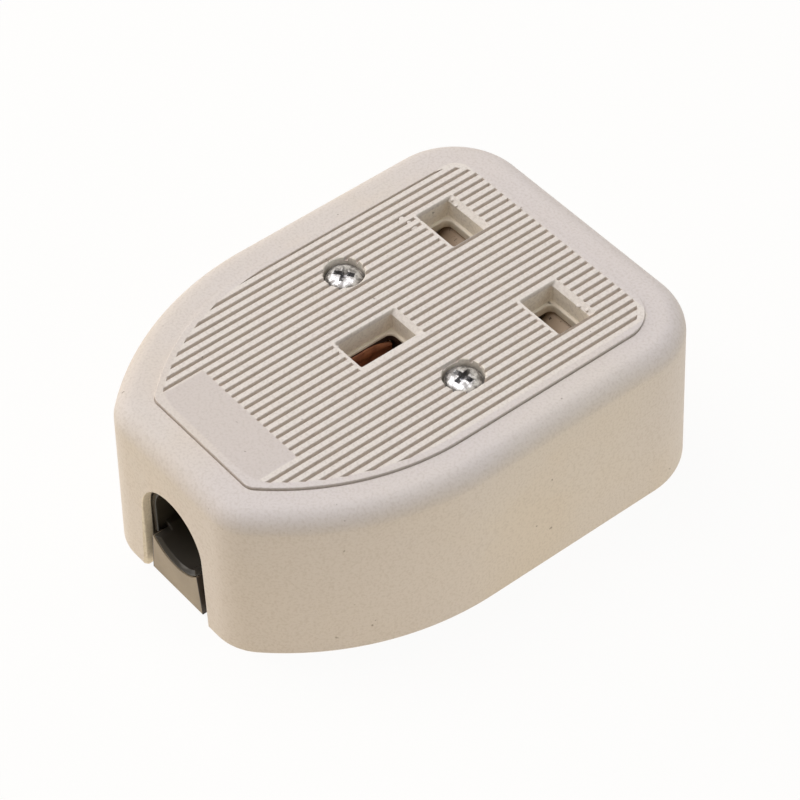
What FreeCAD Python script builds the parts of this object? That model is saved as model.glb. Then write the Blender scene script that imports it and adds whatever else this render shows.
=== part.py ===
import FreeCAD, Part
import os
import re
import Sketcher

# Rewirable inline socket for three flat pins: a soft moulded cover over a rigid insert, with a screwed base.
# Frame: +Z up, +Y from the cable entry to the far end, origin under the middle of the cover's rim.

SIZES = [
    # cover outline, taken at the rim
    ("body_length", 74.3), ("body_width", 55.5), ("body_height", 26.2),
    ("side_arc_radius", 43.1), ("side_arc_setback", 4.4),
    ("far_corner_radius", 12.0), ("front_corner_radius", 8.1),
    ("draft_angle", 1.25), ("shoulder_radius", 3.0),
    # raised face with its grooves
    ("face_inset", 6.2), ("face_step", 0.4),
    ("rib_pitch", 1.38), ("groove_count", 30), ("groove_width", 0.56), ("groove_depth", 0.75),
    ("groove_shift", -0.42), ("rib_margin", 1.0), ("aperture_land", 0.6),
    ("label_width", 20.4), ("label_depth", 8.1),
    # cover walls
    ("top_wall", 3.4), ("cover_wall", 2.8), ("rim_lip", 1.6),
    # pin pattern, from the 13 A plug standard
    ("pin_spacing", 22.23), ("earth_spacing", 22.23), ("earth_setback", 1.4),
    ("line_pin_width", 6.35), ("line_pin_depth", 3.97),
    ("earth_pin_width", 3.97), ("earth_pin_depth", 7.92),
    ("cover_aperture_gap", 0.9), ("aperture_chamfer", 0.5),
    ("insert_aperture_gap", 0.4), ("aperture_corner", 1.0),
    # case screws and nuts
    ("case_screw_spacing", 25.56), ("case_screw_ahead", 4.56),
    ("case_screw_bore", 5.9), ("case_screw_head", 5.4), ("case_head_height", 3.2),
    ("case_thread", 3.0), ("thread_clearance", 0.2), ("thread_fit", 0.05),
    ("case_nut_width", 5.5), ("case_nut_height", 2.4), ("nut_depth", 0.5), ("nut_clearance", 0.1),
    ("pillar_width", 7.0), ("pillar_height", 5.7),
    # base
    ("base_recess", 0.7), ("base_thickness", 2.6), ("base_fit", 0.15),
    # cable entry
    ("entry_radius", 6.5), ("entry_height", 12.0), ("entry_splay", 0.4),
    ("entry_wall", 1.5), ("entry_relief", 1.2),
    ("tongue_foot", 11.3), ("tongue_tip", 10.0), ("tongue_height", 7.8),
    ("tongue_setback", 0.4), ("tongue_thickness", 1.6),
    # insert
    ("insert_plate", 1.4), ("insert_fit", 0.25), ("insert_front", 16.0),
    ("housing_wall", 1.0), ("seat_gap", 0.3), ("spring_wall", 1.2), ("spring_wall_width", 8.0),
    # shutter and its spring
    ("shutter_height", 4.9), ("shutter_gap", 0.25), ("shutter_overlap", 0.25), ("shutter_edge", 0.6),
    ("shutter_bar", 2.2), ("shutter_slot", 14.0), ("spigot_width", 2.4), ("spigot_length", 1.5),
    ("spring_radius", 1.7), ("spring_wire", 0.4), ("spring_turns", 4), ("spring_gap", 0.1), ("wire_sides", 4),
    # contacts
    ("blade_thickness", 0.8), ("line_blade_length", 7.2), ("earth_blade_length", 8.4),
    ("line_top_gap", 0.6), ("earth_top_gap", 0.4), ("earth_web_height", 11.4),
    ("blade_lead", 0.35), ("tail_width", 4.8), ("tail_level", 12.0), ("earth_tail_length", 10.0),
    # terminals
    ("terminal_width", 6.0), ("terminal_length", 6.0), ("terminal_height", 6.4), ("terminal_edge", 0.5),
    ("line_tail_length", 8.2), ("wire_bore", 3.0), ("wire_level", 3.84),
    ("terminal_thread", 2.9), ("terminal_proud", 1.0), ("terminal_reach", 3.2),
    # cord grip and clamp
    ("grip_width", 11.6), ("grip_length", 8.6), ("grip_height", 5.2), ("grip_radius", 5.8),
    ("grip_rise", 0.2), ("grip_edge", 0.45), ("collar_setback", 0.55),
    ("clamp_span", 19.2), ("clamp_side_gap", 2.31), ("clamp_front_gap", 3.0),
    ("clamp_length", 5.6), ("clamp_ear", 2.0),
    ("clamp_radius", 5.2), ("clamp_hump", 1.4), ("clamp_level", 12.0), ("clamp_pillar", 5.4),
    ("clamp_thread", 3.0), ("clamp_head", 5.2), ("clamp_head_height", 1.8), ("clamp_screw_reach", 7.0),
    # drive recesses
    ("recess_width", 0.9), ("recess_length", 3.0), ("recess_depth", 1.0), ("slot_overrun", 0.5),
    ("head_edge", 0.7),
]
number = dict(SIZES)
aliasPattern = re.compile(r"\b(" + "|".join(sorted(number, key=len, reverse=True)) + r")\b")

doc = FreeCAD.newDocument("InlineSocket")
sheet = doc.addObject("Spreadsheet::Sheet", "Sizes")
for row, (alias, amount) in enumerate(SIZES, start=1):
    sheet.set(f"A{row}", alias)
    sheet.set(f"B{row}", str(amount))
    sheet.setAlias(f"B{row}", alias)
doc.recompute()

# Levels and places that several pieces share
ceiling = "(body_height - top_wall)"
plateUnder = f"({ceiling} - insert_plate)"
baseTop = "(base_recess + base_thickness)"
pillarTop = f"({baseTop} + pillar_height)"
innerFloor = f"({baseTop} + seat_gap)"
shutterTop = f"({plateUnder} - shutter_gap)"
housingTop = f"({shutterTop} - shutter_height - shutter_gap)"
lineRow = "(earth_spacing - earth_setback)"
screwRow = "(case_screw_ahead - earth_setback)"
screwX = "(case_screw_spacing / 2)"
pinX = "(pin_spacing / 2)"
lineChamberX = "(line_blade_length + blade_thickness + 2 * seat_gap)"
lineChamberY = "(line_pin_depth + 2 * blade_thickness + 2 * seat_gap)"
earthChamberX = "(earth_pin_width + 2 * blade_thickness + 2 * seat_gap)"
earthPocket = "max(earth_blade_length; earth_pin_depth + 2 * insert_aperture_gap)"
earthChamberY = f"({earthPocket} + blade_thickness + 2 * seat_gap)"
shutterFront = f"({lineRow} - line_pin_depth / 2 - insert_aperture_gap - shutter_overlap)"
shutterCrest = f"({lineRow} + line_pin_depth / 2 + insert_aperture_gap + shutter_overlap)"
shutterBack = f"({shutterCrest} + shutter_bar)"
springWallFace = "(body_length / 2 - cover_wall - insert_fit - spring_wall)"
frontInside = "(body_length / 2 - cover_wall)"
terminalX = f"({pinX} + line_blade_length / 2 + blade_thickness + terminal_width / 2)"
lineTerminalY = f"({lineRow} - line_pin_depth / 2 - blade_thickness - line_tail_length + terminal_length / 2)"
earthTerminalY = "(-earth_setback - earth_blade_length / 2 - blade_thickness - earth_tail_length" \
                 " + terminal_length / 2)"
terminalFoot = "(tail_level - terminal_height)"
# the clamp stands where the side walls leave room for its ears, and clear of the front wall
clampSide = "(side_arc_radius - body_width / 2 + (clamp_span + clamp_pillar) / 2 + clamp_side_gap)"
clampReach = f"(side_arc_setback + ((side_arc_radius - cover_wall) ^ 2 - {clampSide} ^ 2) ^ 0.5)"
clampRow = f"(min({clampReach}; {frontInside} - clamp_front_gap) - clamp_length / 2)"


def bind(thing, prop, formula):
    thing.setExpression(prop, aliasPattern.sub(r"Sizes.\1", formula))


def new_body(label):
    return doc.addObject("PartDesign::Body", label)


def origin_plane(body, role):
    return next(item for item in body.Origin.OriginFeatures if item.Role == role)


# A sketch on one of its body's planes, moved along that plane's own axes by three formulas
def new_sketch(body, role="XY_Plane", at=("0", "0", "0")):
    sketch = body.newObject("Sketcher::SketchObject", "profile")
    sketch.AttachmentSupport = (origin_plane(body, role), [""])
    sketch.MapMode = "FlatFace"
    for axis, formula in zip("xyz", at):
        if formula != "0":
            bind(sketch, f"AttachmentOffset.Base.{axis}", formula)
    return sketch


def constrain(sketch, formula, kind, *arguments):
    index = sketch.addConstraint(Sketcher.Constraint(kind, *arguments))
    bind(sketch, f"Constraints[{index}]", formula)


# The cover's outline, drawn in by an inset: flat far end, straight sides, long side arcs and a short front
def shield(body, inset, level):
    sketch = new_sketch(body, at=("0", "0", level))
    half, far = number["body_width"] / 2, number["body_length"] / 2
    arcY, arcR = -number["side_arc_setback"], number["side_arc_radius"]
    farR, frontR = number["far_corner_radius"], number["front_corner_radius"]
    arcX = half - arcR
    frontX = arcX + ((arcR - frontR) ** 2 - (far - frontR + arcY) ** 2) ** 0.5
    frontCentre = FreeCAD.Vector(frontX, frontR - far, 0)
    meet = FreeCAD.Vector(frontX - arcX, frontCentre.y - arcY, 0).normalize() * arcR
    meet += FreeCAD.Vector(arcX, arcY, 0)

    def arc(centre, radius, start, end):
        circle = Part.Circle(centre, FreeCAD.Vector(0, 0, 1), radius)
        return Part.ArcOfCircle(circle, circle.parameter(start), circle.parameter(end))

    def point(x, y):
        return FreeCAD.Vector(x, y, 0)

    farY = far - farR
    pieces = [
        Part.LineSegment(point(half - farR, far), point(farR - half, far)),
        arc(point(farR - half, farY), farR, point(farR - half, far), point(-half, farY)),
        Part.LineSegment(point(-half, farY), point(-half, arcY)),
        arc(point(-arcX, arcY), arcR, point(-half, arcY), point(-meet.x, meet.y)),
        arc(point(-frontX, frontCentre.y), frontR, point(-meet.x, meet.y), point(-frontX, -far)),
        Part.LineSegment(point(-frontX, -far), point(frontX, -far)),
        arc(frontCentre, frontR, point(frontX, -far), meet),
        arc(point(arcX, arcY), arcR, meet, point(half, arcY)),
        Part.LineSegment(point(half, arcY), point(half, farY)),
        arc(point(half - farR, farY), farR, point(half, farY), point(half - farR, far)),
    ]
    sketch.addGeometry(pieces, False)
    count = len(pieces)
    for index in range(count):
        sketch.addConstraint(Sketcher.Constraint("Tangent", index, 2, (index + 1) % count, 1))
    for index, kind in ((0, "Horizontal"), (5, "Horizontal"), (2, "Vertical"), (8, "Vertical")):
        sketch.addConstraint(Sketcher.Constraint(kind, index))
    constrain(sketch, f"body_length / 2 - ({inset})", "DistanceY", -1, 1, 0, 1, far)
    constrain(sketch, f"body_length / 2 - ({inset})", "DistanceY", 5, 1, -1, 1, far)
    constrain(sketch, f"body_width / 2 - ({inset})", "DistanceX", -1, 1, 8, 1, half)
    constrain(sketch, f"body_width / 2 - ({inset})", "DistanceX", 2, 1, -1, 1, half)
    for index in (3, 7):
        constrain(sketch, f"side_arc_radius - ({inset})", "Radius", index, arcR)
    for index in (1, 9):
        constrain(sketch, f"far_corner_radius - ({inset})", "Radius", index, farR)
    for index in (4, 6):
        constrain(sketch, f"front_corner_radius - ({inset})", "Radius", index, frontR)
    constrain(sketch, "side_arc_setback", "DistanceY", 2, 2, -1, 1, -arcY)
    constrain(sketch, "side_arc_setback", "DistanceY", 8, 1, -1, 1, -arcY)
    return sketch


# A rectangle centred on the sketch's own origin
def rectangle(sketch, width, height):
    first = sketch.GeometryCount
    corners = [FreeCAD.Vector(x, y, 0) for x, y in ((-1, -1), (1, -1), (1, 1), (-1, 1))]
    for index in range(4):
        sketch.addGeometry(Part.LineSegment(corners[index], corners[(index + 1) % 4]), False)
    for index in range(4):
        sketch.addConstraint(Sketcher.Constraint("Coincident", first + index, 2, first + (index + 1) % 4, 1))
        kind = "Vertical" if index % 2 else "Horizontal"
        sketch.addConstraint(Sketcher.Constraint(kind, first + index))
    sketch.addConstraint(Sketcher.Constraint("Symmetric", first, 1, first + 2, 1, -1, 1))
    constrain(sketch, width, "DistanceX", first, 1, first, 2, 2.0)
    constrain(sketch, height, "DistanceY", first + 1, 1, first + 1, 2, 2.0)
    return sketch


# Widths at the foot and the top; the middle of the height is at the sketch's origin
def trapezoid(sketch, foot, top, height):
    first = sketch.GeometryCount
    corners = [FreeCAD.Vector(x, y, 0) for x, y in ((-1, -1), (1, -1), (1, 1), (-1, 1))]
    for index in range(4):
        sketch.addGeometry(Part.LineSegment(corners[index], corners[(index + 1) % 4]), False)
    for index in range(4):
        sketch.addConstraint(Sketcher.Constraint("Coincident", first + index, 2, first + (index + 1) % 4, 1))
    for level in (first, first + 2):
        sketch.addConstraint(Sketcher.Constraint("Symmetric", level, 1, level, 2, -2))
    constrain(sketch, foot, "DistanceX", first, 1, first, 2, 2.0)
    constrain(sketch, top, "DistanceX", first + 2, 2, first + 2, 1, 2.0)
    constrain(sketch, f"({height}) / 2", "DistanceY", first, 1, -1, 1, 1.0)
    constrain(sketch, f"({height}) / 2", "DistanceY", -1, 1, first + 2, 1, 1.0)
    return sketch


def circle(sketch, radius):
    first = sketch.GeometryCount
    sketch.addGeometry(Part.Circle(FreeCAD.Vector(0, 0, 0), FreeCAD.Vector(0, 0, 1), 1.0), False)
    sketch.addConstraint(Sketcher.Constraint("Coincident", first, 3, -1, 1))
    constrain(sketch, radius, "Radius", first, 1.0)
    return sketch


# A closed run of straight lines whose corners are given as formulas, each with its first guess
def polygon(sketch, corners):
    points = [FreeCAD.Vector(guess[0], guess[1], 0) for _, _, guess in corners]
    count = len(points)
    for index in range(count):
        sketch.addGeometry(Part.LineSegment(points[index], points[(index + 1) % count]), False)
    for index, (x, y, guess) in enumerate(corners):
        before = (index - 1) % count
        sketch.addConstraint(Sketcher.Constraint("Coincident", before, 2, index, 1))
        constrain(sketch, x, "DistanceX", -1, 1, index, 1, guess[0])
        constrain(sketch, y, "DistanceY", -1, 1, index, 1, guess[1])
    return sketch


def pad(body, sketch, length, against=False):
    feature = body.newObject("PartDesign::Pad", "pad")
    feature.Profile = sketch
    bind(feature, "Length", length)
    feature.Reversed = against
    return feature


# Cuts against the sketch's normal, or along it; with no length it cuts right through
def pocket(body, sketch, length=None, along=False):
    feature = body.newObject("PartDesign::Pocket", "pocket")
    feature.Profile = sketch
    if length is None:
        feature.Type = "ThroughAll"
    else:
        bind(feature, "Length", length)
    feature.Reversed = along
    return feature


def dress(body, kind, base, names, prop, formula):
    feature = body.newObject(f"PartDesign::{kind}", kind.lower())
    feature.Base = (base, names)
    bind(feature, prop, formula)
    return feature


def edge_names(feature, wanted):
    doc.recompute()
    return [f"Edge{i}" for i, edge in enumerate(feature.Shape.Edges, start=1) if wanted(edge.BoundBox, edge)]


def face_names(feature, wanted):
    doc.recompute()
    return [f"Face{i}" for i, face in enumerate(feature.Shape.Faces, start=1) if wanted(face.BoundBox)]


def upright(box):
    return box.ZLength > 0.1 and box.XLength < 0.001 and box.YLength < 0.001


def level_at(box, height):
    return box.ZLength < 0.001 and abs(box.ZMin - height) < 0.001


# Width, depth and centre of the three pin holes, with a margin round each pin
def pin_holes(gap):
    holes = []
    for side in (-1, 1):
        width, depth = f"line_pin_width + 2 * ({gap})", f"line_pin_depth + 2 * ({gap})"
        holes.append((width, depth, f"{side} * {pinX}", lineRow))
    width, depth = f"earth_pin_width + 2 * ({gap})", f"earth_pin_depth + 2 * ({gap})"
    holes.append((width, depth, "0", "-earth_setback"))
    return holes


def make_cover():
    body = new_body("cover_shell")
    block = pad(body, shield(body, "0", "0"), "body_height - face_step")
    sides = face_names(block, lambda box: box.ZLength > 1)
    draft = body.newObject("PartDesign::Draft", "draft")
    draft.Base = (block, sides)
    draft.NeutralPlane = (origin_plane(body, "XY_Plane"), [""])
    bind(draft, "Angle", "draft_angle")
    top = number["body_height"] - number["face_step"]
    brow = edge_names(draft, lambda box, edge: level_at(box, top))
    dress(body, "Fillet", draft, brow, "Radius", "shoulder_radius")
    doc.recompute()
    pad(body, shield(body, "face_inset", "body_height - face_step"), "face_step")
    pocket(body, shield(body, "rim_lip", "0"), baseTop, along=True)
    pocket(body, shield(body, "cover_wall", "0"), ceiling, along=True)
    arch = new_sketch(body, "XZ_Plane", at=("0", "entry_height", "0"))
    pocket(body, circle(arch, "entry_radius"), along=True)
    legs = new_sketch(body, "XZ_Plane", at=("0", "entry_height / 2", "0"))
    trapezoid(legs, "2 * (entry_radius + entry_splay)", "2 * entry_radius", "entry_height")
    pocket(body, legs, along=True)
    thinning = "cover_wall - entry_wall"
    relief = new_sketch(body, "XZ_Plane", at=("0", "entry_height", frontInside))
    pocket(body, circle(relief, "entry_radius + entry_relief"), thinning, along=True)
    reliefLegs = new_sketch(body, "XZ_Plane", at=("0", "entry_height / 2", frontInside))
    reliefTop = "2 * (entry_radius + entry_relief)"
    trapezoid(reliefLegs, f"{reliefTop} + 2 * entry_splay", reliefTop, "entry_height")
    pocket(body, reliefLegs, thinning, along=True)
    for side in (-1, 1):
        bore = new_sketch(body, at=(f"{side} * {screwX}", screwRow, "body_height"))
        pocket(body, circle(bore, "case_screw_bore / 2"), "top_wall")
    for width, depth, x, y in pin_holes("cover_aperture_gap"):
        hole = new_sketch(body, at=(x, y, "body_height"))
        last = pocket(body, rectangle(hole, width, depth), "top_wall")
    inside = (number["pin_spacing"] + number["line_pin_width"]) / 2 + 2 * number["cover_aperture_gap"]
    longest = number["earth_pin_depth"] + 3 * number["cover_aperture_gap"]
    rims = edge_names(last, lambda box, edge: level_at(box, number["body_height"]) and edge.Length < longest
                      and len(edge.Vertexes) == 2 and box.XMax < inside and box.XMin > -inside
                      and box.YMin > -number["insert_front"])
    dress(body, "Chamfer", last, rims, "Size", "aperture_chamfer")
    return body


# The field that the grooves fill: inside the face's margin, clear of the label panel and the pin holes
def make_rib_field():
    body = new_body("rib_field")
    low = "(body_height - 2 * groove_depth)"
    tall = "(3 * groove_depth)"
    pad(body, shield(body, "face_inset + rib_margin", low), tall)
    panel = new_sketch(body, at=("0", "face_inset + label_depth / 2 - body_length / 2", low))
    pocket(body, rectangle(panel, "label_width", "label_depth"), tall, along=True)
    for width, depth, x, y in pin_holes("cover_aperture_gap + aperture_land"):
        land = new_sketch(body, at=(x, y, low))
        pocket(body, rectangle(land, width, depth), tall, along=True)
    return body


def make_grooved_cover():
    shell = make_cover()
    field = make_rib_field()
    bars = []
    for index in range(int(number["groove_count"])):
        bar = doc.addObject("Part::Box", "groove_bar")
        bind(bar, "Length", "groove_width")
        bind(bar, "Width", "body_length")
        bind(bar, "Height", "2 * groove_depth")
        middle = f"({index} - (groove_count - 1) / 2) * rib_pitch + groove_shift"
        bind(bar, "Placement.Base.x", f"{middle} - groove_width / 2")
        bind(bar, "Placement.Base.y", "-body_length / 2")
        bind(bar, "Placement.Base.z", "body_height - groove_depth")
        bars.append(bar)
    comb = doc.addObject("Part::Compound", "groove_comb")
    comb.Links = bars
    grooves = doc.addObject("Part::Common", "grooves")
    grooves.Base = field
    grooves.Tool = comb
    cover = doc.addObject("Part::Cut", "rubber_cover")
    cover.Base = shell
    cover.Tool = grooves
    return cover


def make_base():
    body = new_body("base_plate")
    pad(body, shield(body, "rim_lip + base_fit", "base_recess"), "base_thickness")
    tongueFace = "body_length / 2 - tongue_setback"
    tongue = new_sketch(body, "XZ_Plane", at=("0", "(base_recess + tongue_height) / 2", tongueFace))
    trapezoid(tongue, "tongue_foot", "tongue_tip", "tongue_height - base_recess")
    pad(body, tongue, "tongue_thickness", against=True)
    notch = new_sketch(body, "XZ_Plane", at=("0", "entry_height", "0"))
    pocket(body, circle(notch, "entry_radius"), along=True)
    for side in (-1, 1):
        pillar = new_sketch(body, at=(f"{side} * {screwX}", screwRow, baseTop))
        pad(body, circle(pillar, "pillar_width / 2"), "pillar_height")
        post = new_sketch(body, at=(f"{side} * clamp_span / 2", f"-{clampRow}", baseTop))
        pad(body, rectangle(post, "clamp_pillar", "clamp_pillar"), f"clamp_level - {baseTop}")
    for side in (-1, 1):
        bore = new_sketch(body, at=(f"{side} * {screwX}", screwRow, "0"))
        pocket(body, circle(bore, "case_thread / 2 + thread_clearance"), along=True)
        pilot = new_sketch(body, at=(f"{side} * clamp_span / 2", f"-{clampRow}", "clamp_level"))
        pocket(body, circle(pilot, "clamp_thread / 2 + thread_fit"), "clamp_screw_reach + thread_clearance")
        seat = body.newObject("PartDesign::SubtractivePrism", "nut_seat")
        seat.AttachmentSupport = (origin_plane(body, "XY_Plane"), [""])
        seat.MapMode = "FlatFace"
        bind(seat, "AttachmentOffset.Base.x", f"{side} * {screwX}")
        bind(seat, "AttachmentOffset.Base.y", screwRow)
        bind(seat, "Circumradius", "case_nut_width / 3 ^ 0.5 + nut_clearance")
        bind(seat, "Height", "base_recess + nut_depth + case_nut_height + nut_clearance")
    return body


def make_insert():
    body = new_body("socket_insert")
    pad(body, shield(body, "cover_wall + insert_fit", plateUnder), "insert_plate")
    trim = new_sketch(body, at=("0", "-insert_front - body_length / 2", plateUnder))
    pocket(body, rectangle(trim, "body_width", "body_length"), "insert_plate", along=True)
    chamberDepth = f"{plateUnder} - {innerFloor}"
    for side in (-1, 1):
        # the outer wall of each chamber hangs from the plate and carries the chamber below the shutter
        hangX = f"{side} * ({pinX} + (blade_thickness + {lineChamberX} + housing_wall) / 2)"
        hanger = new_sketch(body, at=(hangX, lineRow, plateUnder))
        rectangle(hanger, "housing_wall", f"{lineChamberY} + 2 * housing_wall")
        pad(body, hanger, chamberDepth, against=True)
        chamberX = f"{side} * ({pinX} + blade_thickness / 2)"
        wall = new_sketch(body, at=(chamberX, lineRow, housingTop))
        rectangle(wall, f"{lineChamberX} + 2 * housing_wall", f"{lineChamberY} + 2 * housing_wall")
        rectangle(wall, lineChamberX, lineChamberY)
        pad(body, wall, f"{housingTop} - {innerFloor}", against=True)
        tube = new_sketch(body, at=(f"{side} * {screwX}", screwRow, plateUnder))
        pad(body, circle(tube, "pillar_width / 2"), f"{plateUnder} - {pillarTop}", against=True)
    earthY = "-earth_setback - blade_thickness / 2"
    earth = new_sketch(body, at=("0", earthY, plateUnder))
    rectangle(earth, f"{earthChamberX} + 2 * housing_wall", f"{earthChamberY} + 2 * housing_wall")
    rectangle(earth, earthChamberX, earthChamberY)
    pad(body, earth, chamberDepth, against=True)
    stop = new_sketch(body, at=("0", f"{springWallFace} + spring_wall / 2", plateUnder))
    rectangle(stop, "spring_wall_width", "spring_wall")
    pad(body, stop, "shutter_height + shutter_gap", against=True)
    lug = new_sketch(body, at=("0", f"{shutterCrest} - spring_gap - housing_wall / 2", plateUnder))
    pad(body, rectangle(lug, "shutter_slot / 2", "housing_wall"), "shutter_height / 2", against=True)
    for side in (-1, 1):
        bore = new_sketch(body, at=(f"{side} * {screwX}", screwRow, ceiling))
        pocket(body, circle(bore, "case_thread / 2 + thread_clearance"))
        slotX = f"{side} * ({pinX} + (line_blade_length + blade_thickness) / 2)"
        slotY = f"{lineRow} - ({lineChamberY} + housing_wall) / 2"
        slot = new_sketch(body, at=(slotX, slotY, innerFloor))
        pocket(body, rectangle(slot, "blade_thickness + 2 * seat_gap", "housing_wall + seat_gap"),
               f"tail_level + seat_gap - {innerFloor}", along=True)
    window = new_sketch(body, "XZ_Plane", at=("0", "tail_level + blade_thickness / 2", "earth_setback"))
    pocket(body, rectangle(window, "tail_width + 2 * seat_gap", "blade_thickness + 2 * seat_gap"), along=True)
    for width, depth, x, y in pin_holes("insert_aperture_gap"):
        hole = new_sketch(body, at=(x, y, ceiling))
        last = pocket(body, rectangle(hole, width, depth), "insert_plate")
    high = number["body_height"] - number["top_wall"]
    reach = (number["pin_spacing"] + number["line_pin_width"]) / 2 + 2 * number["insert_aperture_gap"]
    corners = edge_names(last, lambda box, edge: upright(box) and abs(box.ZMax - high) < 0.001
                         and abs(box.XMax) < reach and abs(box.ZLength - number["insert_plate"]) < 0.001)
    dress(body, "Fillet", last, corners, "Radius", "aperture_corner")
    return body


def make_shutter():
    body = new_body("shutter")
    low = f"({shutterTop} - shutter_height)"
    profile = new_sketch(body, "YZ_Plane")
    row = number["earth_spacing"] - number["earth_setback"]
    half = number["line_pin_depth"] / 2
    rear = row + half + number["shutter_bar"]
    bed = number["body_height"] - number["top_wall"] - number["insert_plate"] - number["shutter_height"]
    lid = bed + number["shutter_height"]
    polygon(profile, [
        (shutterFront, low, (row - half, bed)),
        (shutterBack, low, (rear, bed)),
        (shutterBack, shutterTop, (rear, lid)),
        (shutterCrest, shutterTop, (row + half, lid)),
        (shutterFront, f"{low} + shutter_edge", (row - half, bed + number["shutter_edge"])),
    ])
    wedge = pad(body, profile, "pin_spacing + line_blade_length + 2 * blade_thickness")
    wedge.Midplane = True
    gap = new_sketch(body, at=("0", f"{shutterCrest} - body_length / 2", shutterTop))
    pocket(body, rectangle(gap, "shutter_slot", "body_length"))
    spigot = new_sketch(body, "XZ_Plane", at=("0", f"{shutterTop} - shutter_height / 2", f"-{shutterBack}"))
    pad(body, circle(spigot, "spigot_width / 2"), "spigot_length", against=True)
    return body


def make_spring():
    length = f"({springWallFace} - {shutterBack} - 2 * spring_gap - spring_wire)"
    start = f"{shutterBack} + spring_gap + spring_wire / 2"
    axisZ = f"{shutterTop} - shutter_height / 2"
    coil = doc.addObject("Part::Helix", "spring_path")
    bind(coil, "Radius", "spring_radius")
    bind(coil, "Height", length)
    bind(coil, "Pitch", f"{length} / spring_turns")
    coil.Placement.Rotation = FreeCAD.Rotation(FreeCAD.Vector(1, 0, 0), -90)
    bind(coil, "Placement.Base.y", start)
    bind(coil, "Placement.Base.z", axisZ)
    wire = doc.addObject("Part::RegularPolygon", "spring_section")
    bind(wire, "Polygon", "wire_sides")
    bind(wire, "Circumradius", "spring_wire / 2")
    bind(wire, "Placement.Base.x", "spring_radius")
    bind(wire, "Placement.Base.y", start)
    bind(wire, "Placement.Base.z", axisZ)
    doc.recompute()
    spring = doc.addObject("Part::Sweep", "shutter_spring")
    spring.Sections = [wire]
    spring.Spine = (coil, [f"Edge{i + 1}" for i in range(len(coil.Shape.Edges))])
    spring.Solid = True
    spring.Frenet = True
    return spring


# A brass strip folded to a U round a flat pin, with a tail in the plane of its web
def make_line_contact(label, side):
    body = new_body(label)
    webX = f"{side} * ({pinX} + (line_blade_length + blade_thickness) / 2)"
    outer = new_sketch(body, at=(f"{side} * ({pinX} + blade_thickness / 2)", lineRow, innerFloor))
    rectangle(outer, "line_blade_length + blade_thickness", "line_pin_depth + 2 * blade_thickness")
    pad(body, outer, f"{housingTop} - line_top_gap - {innerFloor}")
    throat = new_sketch(body, at=(f"{side} * ({pinX} - line_blade_length / 2)", lineRow, innerFloor))
    folded = pocket(body, rectangle(throat, "2 * line_blade_length", "line_pin_depth"), along=True)
    outerX = (number["pin_spacing"] + number["line_blade_length"]) / 2 + number["blade_thickness"]
    bends = edge_names(folded, lambda box, edge: upright(box) and abs(abs(box.XMax) - outerX) < 0.001)
    bent = dress(body, "Fillet", folded, bends, "Radius", "blade_thickness")
    row = number["earth_spacing"] - number["earth_setback"]
    inner = number["line_pin_depth"] / 2
    high = bent.Shape.BoundBox.ZMax if bent.Shape.Faces else folded.Shape.BoundBox.ZMax
    lips = edge_names(bent, lambda box, edge: level_at(box, high) and box.YLength < 0.001
                      and abs(abs(box.YMin - row) - inner) < 0.001)
    dress(body, "Chamfer", bent, lips, "Size", "blade_lead")
    tailY = f"{lineRow} - line_pin_depth / 2 - line_tail_length / 2"
    tail = new_sketch(body, at=(webX, f"{tailY} - blade_thickness / 2", terminalFoot))
    pad(body, rectangle(tail, "blade_thickness", "line_tail_length + blade_thickness"), "terminal_height")
    return body


def make_earth_contact():
    body = new_body("earth_contact")
    top = f"{plateUnder} - earth_top_gap"
    outer = new_sketch(body, at=("0", "-earth_setback - blade_thickness / 2", innerFloor))
    rectangle(outer, "earth_pin_width + 2 * blade_thickness", "earth_blade_length + blade_thickness")
    pad(body, outer, f"{top} - {innerFloor}")
    throat = new_sketch(body, at=("0", "earth_blade_length / 2 - earth_setback", innerFloor))
    pocket(body, rectangle(throat, "earth_pin_width", "2 * earth_blade_length"), along=True)
    webY = "-earth_setback - (earth_blade_length + blade_thickness) / 2"
    relief = new_sketch(body, at=("0", webY, f"{innerFloor} + earth_web_height"))
    folded = pocket(body, rectangle(relief, "2 * earth_pin_width", "blade_thickness"), along=True)
    frontY = -number["earth_setback"] - number["earth_blade_length"] / 2 - number["blade_thickness"]
    bends = edge_names(folded, lambda box, edge: upright(box) and abs(box.YMin - frontY) < 0.001)
    dress(body, "Fillet", folded, bends, "Radius", "blade_thickness")
    tail = new_sketch(body, at=("0", f"{webY} - earth_tail_length / 2", "tail_level"))
    pad(body, rectangle(tail, "tail_width", "earth_tail_length + blade_thickness"), "blade_thickness")
    return body


# A brass block with a square wire way along Y and a clamping thread from below
def make_terminal(label, x, y):
    body = new_body(label)
    foot = new_sketch(body, at=(x, y, terminalFoot))
    block = pad(body, rectangle(foot, "terminal_width", "terminal_length"), "terminal_height")
    dress(body, "Chamfer", block, edge_names(block, lambda box, edge: upright(box)), "Size", "terminal_edge")
    wire = new_sketch(body, "XZ_Plane", at=(x, f"{terminalFoot} + wire_level", "0"))
    way = pocket(body, rectangle(wire, "wire_bore", "wire_bore"))
    way.Midplane = True
    thread = new_sketch(body, at=(x, y, terminalFoot))
    circle(thread, "terminal_thread / 2 + thread_fit")
    pocket(body, thread, "terminal_reach + thread_fit", along=True)
    return body


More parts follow.
